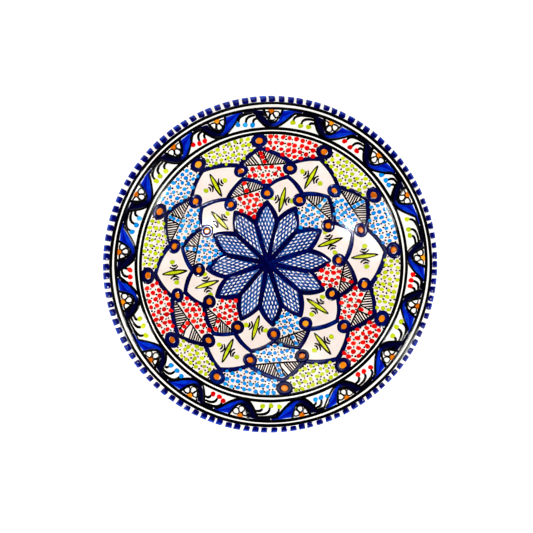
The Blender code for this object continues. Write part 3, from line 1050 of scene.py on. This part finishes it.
def paint_lobe(lobe, following, leading):
    """One lobe of the garland; following and leading are the neighbours' angles."""
    pitch_on = arc(lobe - following, RIM_LINES[1])
    pitch_back = arc(leading - lobe, RIM_LINES[1])
    dark_end = -(17 + hand.uniform(-1.5, 1.0))
    bright_end = min(24 + hand.uniform(-2, 1.5), pitch_on - 14)
    open_start, open_end = -8.5 + hand.uniform(-0.8, 0.8), 10 + hand.uniform(-1, 1)
    stem = 2.4

    def outer_edge(along):
        if along < 0:
            dip = bell(along, dark_end, -dark_end, 2.3)
        else:
            dip = bell(along, -bright_end, bright_end, 1.75)
        return stem + (BORDER_DEPTH + 0.8 - stem) * dip

    def inner_edge(along):
        return (BORDER_DEPTH - 4.6) * bell(along, open_start, open_end, 2.4)

    columns = []
    start, end = -pitch_back / 2, pitch_on / 2
    for along in spread(start, end, 49):
        low, high = inner_edge(along), outer_edge(along)
        columns.append([border_spot(lobe, along, low + (high - low) * share)
                        for share in spread(0, 1, 6)])

    def brightness(share, _):
        along = start + (end - start) * share
        return min(max((along + 1.5) / 8, 0), 1) * min(max((end - along) / 4, 0), 1)

    coats["garland"].fill(columns, brightness)
    lines = coats["garland_lines"]
    outline = [border_spot(lobe, along, outer_edge(along)) for along in spread(start, end, 60)]
    lines.stroke(outline, brushed(2.0, 0.2))
    opening = [border_spot(lobe, along, inner_edge(along)) for along in spread(open_start, open_end, 30)]
    lines.stroke(opening, brushed(2.1, 0.15))
    paint_border_flower(lobe, lines)


def paint_border_flower(lobe, lines):
    """Three white petals outlined in black round an orange dot at the rim line."""
    heart = (hand.uniform(-0.6, 1.0), 2.2)
    for turn in (-60, 4, 66):
        turn += hand.uniform(-8, 8)
        way = (math.sin(math.radians(turn)), math.cos(math.radians(turn)))
        loop = []
        for angle in spread(0, math.tau, 19)[:-1]:
            out = 5.4 - 3.2 * math.cos(angle)
            wide = 2.9 * math.sin(angle) * (1 - 0.3 * math.cos(angle))
            along = heart[0] + way[0] * out + way[1] * wide
            depth = heart[1] + way[1] * out - way[0] * wide
            loop.append((border_spot(lobe, along, max(depth, 0.2)), 1.0, angle / math.tau))
        lines.stroke(loop, brushed(1.05, 0.25), closed=True)
    coats["eye_dots"].dab(border_spot(lobe, heart[0], heart[1] - 0.1), 2.5, 1.2, lobe + 90)


COMMAS = (                    # share of the gap, root's place along and in, depth of the dot
    (0.34, -14.5, 8.2, 12.0),
    (0.48, -16.5, 5.0, 11.6),
    (0.62, -20.0, 2.6, 10.6),
)


def paint_commas(lobe, leading, color):
    """Three nested comma strokes fan back from a lobe's dark leg, each to its own dot."""
    gap = arc(leading - lobe, RIM_LINES[1])
    for place, root, root_depth, dot_depth in COMMAS:
        along = -gap * place + hand.uniform(-1.0, 1.0)
        depth = dot_depth + hand.uniform(-1.0, 1.0)
        start = border_spot(lobe, root, root_depth)
        pull = border_spot(lobe, along + 0.5, root_depth - 0.6)
        end = border_spot(lobe, along, depth - 1.2)
        coats["commas"].stroke(bezier(start, pull, end), lambda share: 1.7 + 0.5 * math.sin(math.pi * share))
        spot = border_spot(lobe, along - hand.uniform(0.2, 1.6), depth + 1.0)
        coats[color].dab(spot, 2.15, 1.1, hand.uniform(-40, 40), 14)


def paint_border():
    for i in range(LOBES):
        leading, lobe, following = (spaced_by_eye(FIRST_LOBE, LOBES, k) for k in (i - 1, i, i + 1))
        paint_lobe(lobe, following, leading)
        paint_commas(lobe, leading, LOBE_DOTS[i - 1])


DAB_START, DAB_END = 155.7, 164.0
DAB_WIDTH = 5.9
DAB_PITCH = 3.22              # degrees
LAST_DAB = 358.2              # no dab starts past this, where it would touch the first one


def paint_lip():
    """Short dabs laid over the lip by hand, about nine millimetres apart."""
    degrees = 0.0
    while degrees < LAST_DAB:
        start = DAB_START + hand.uniform(-0.3, 0.3)
        end = DAB_END + hand.uniform(-0.6, 0.7)
        lean = hand.uniform(-0.3, 0.3)
        path = [polar(reach, degrees + lean * share)
                for share, reach in zip(spread(0, 1, 9), spread(start, end, 9))]
        coats["dabs"].stroke(path, brushed(DAB_WIDTH + hand.uniform(-0.5, 0.4), 0.06), blunt=True)
        degrees += DAB_PITCH + hand.uniform(-0.35, 0.35)


# ------------------------------------------------------------ camera, floor and light
def make_camera():
    """A long lens almost straight above, leaning to the upper left."""
    camera = bpy.data.objects.new("camera", bpy.data.cameras.new("camera"))
    bpy.context.scene.collection.objects.link(camera)
    bpy.context.scene.camera = camera
    distance, lean, side = 1.6, math.radians(8.06), math.radians(157.6)
    target = Vector((-0.0060, -0.0011, TOP_HEIGHT * MM))
    backwards = Vector((math.sin(lean) * math.cos(side), math.sin(lean) * math.sin(side), math.cos(lean)))
    right = Vector((0, 1, 0)).cross(backwards).normalized()
    up = backwards.cross(right)
    camera.matrix_world = Matrix.LocRotScale(target + backwards * distance,
                                             Matrix((right, up, backwards)).transposed(), None)
    half_width = 0.2521
    camera.data.angle = 2 * math.atan(half_width / distance)
    camera.data.clip_start = 0.05
    camera.data.clip_end = 30


def make_floor():
    """A white sweep that glows by itself, with a painted shadow: its glow is dimmed under and just round the
    plate.
    """
    reach, low, sides = 1.5, -0.0002, 64
    points = [(reach * math.cos(math.tau * i / sides), reach * math.sin(math.tau * i / sides), low)
              for i in range(sides)]
    mesh = bpy.data.meshes.new("floor")
    mesh.from_pydata(points, [], [tuple(range(sides))])
    nodes = Nodes("white_sweep", 0.6, 0.1)
    place = nodes.position()
    mottling = nodes.noise(place, 3.0, 3)
    nodes.paint(nodes.ramp(mottling, (0.3, (0.30, 0.30, 0.30)), (0.7, (0.34, 0.34, 0.34))))
    length = nodes.tree.nodes.new("ShaderNodeVectorMath")
    length.operation = "LENGTH"
    nodes.link(place, length.inputs[0])
    # painted shadow: the glow is low under the plate and rises outwards past its rim
    glow_with_painted_shadow = nodes.ramp(length.outputs["Value"], (0.08, (0.10, 0.10, 0.10)), (0.165, (0.86, 0.86, 0.86)),
                      (0.6, (1.0, 1.0, 1.0)))
    nodes.link(glow_with_painted_shadow, nodes.shader.inputs["Emission Color"])
    nodes.shader.inputs["Emission Strength"].default_value = 1.0
    mesh.materials.append(nodes.material)
    floor = bpy.data.objects.new("floor", mesh)
    bpy.context.scene.collection.objects.link(floor)


def make_lamp(name, azimuth, zenith, distance, size, power):
    """A lamp size[0] wide and size[1] high faces the plate, zenith degrees off the plate's axis."""
    lamp = bpy.data.objects.new(name, bpy.data.lights.new(name, "AREA"))
    lamp.data.shape = "RECTANGLE"
    lamp.data.size, lamp.data.size_y = size
    lamp.data.energy = power
    away = Vector((math.sin(math.radians(zenith)) * math.cos(math.radians(azimuth)),
                   math.sin(math.radians(zenith)) * math.sin(math.radians(azimuth)),
                   math.cos(math.radians(zenith))))
    lamp.location = away * distance + Vector((0, 0, TOP_HEIGHT * MM))
    across = Vector((0, 0, 1)).cross(away).normalized()
    lamp.rotation_euler = Matrix((across, away.cross(across), away)).transposed().to_euler()
    bpy.context.scene.collection.objects.link(lamp)


def make_light():
    world = bpy.data.worlds.new("studio")
    bpy.context.scene.world = world
    world.use_nodes = True
    tree = world.node_tree
    height = tree.nodes.new("ShaderNodeSeparateXYZ")
    ramp = tree.nodes.new("ShaderNodeValToRGB")
    tree.links.new(tree.nodes.new("ShaderNodeTexCoord").outputs["Generated"], height.inputs[0])
    tree.links.new(height.outputs["Z"], ramp.inputs[0])
    tree.links.new(ramp.outputs["Color"], tree.nodes["Background"].inputs["Color"])
    elements = ramp.color_ramp.elements
    elements.new(0.5)
    elements.new(0.5)
    for element, (sine, level) in zip(elements, ((0.17, 1.0), (0.24, 0.55), (0.38, 0.4), (0.52, 0.04))):
        element.position = sine
        element.color = (level, level, level, 1)
    tree.nodes["Background"].inputs["Strength"].default_value = 1.05
    make_lamp("flash_right", -29, 38, 1.3, (0.11, 0.11), 6.4)
    make_lamp("flash_left", -145, 31, 1.3, (0.11, 0.11), 6.4)
    make_lamp("softbox_top", 90, 44, 1.6, (0.8, 0.6), 4.6)
    make_lamp("softbox_left", 198, 40, 1.6, (0.4, 0.3), 1.4)
    bpy.context.scene.view_settings.view_transform = "Standard"
    bpy.context.scene.view_settings.look = "Medium High Contrast"


make_camera()
make_floor()
make_light()
make_glaze()
make_clay()
paint_arches()
paint_eyes()
paint_flower()
paint_cells()
paint_lines()
paint_border()
paint_lip()
for coat in coats.values():
    coat.make()
